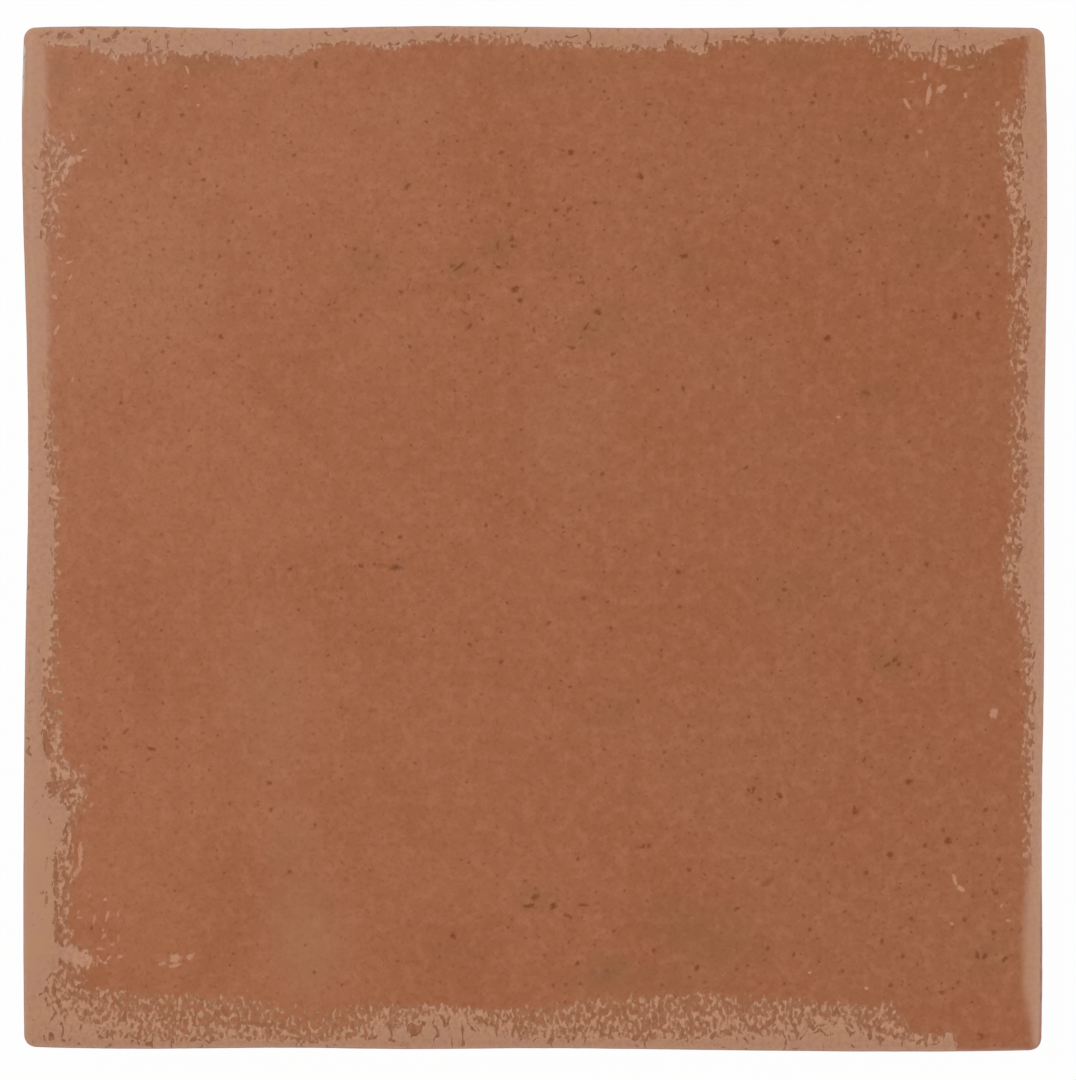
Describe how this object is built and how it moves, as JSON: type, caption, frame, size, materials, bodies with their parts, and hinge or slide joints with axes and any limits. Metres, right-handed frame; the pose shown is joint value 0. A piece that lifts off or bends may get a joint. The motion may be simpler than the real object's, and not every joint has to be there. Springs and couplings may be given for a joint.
{
  "type": "glazed wall tile",
  "caption": "Square glazed ceramic wall tile with uneven cushioned edges, a speckled terracotta face and a flat ribbed back for bedding.",
  "frame": {"origin": "middle of the bedding plane that the ribs of the back lie in", "axes": "+Z out of the glazed face, +Y towards the top of the face as pictured, +X to its right"},
  "size_m": [0.1002, 0.1003, 0.0091],
  "materials": {
    "glazed_body": "satin terracotta glaze with fine dark specks and a pale worn rim"
  },
  "bodies": {
    "root": {"wall_tile": "glazed_body"}
  },
  "joints": []
}
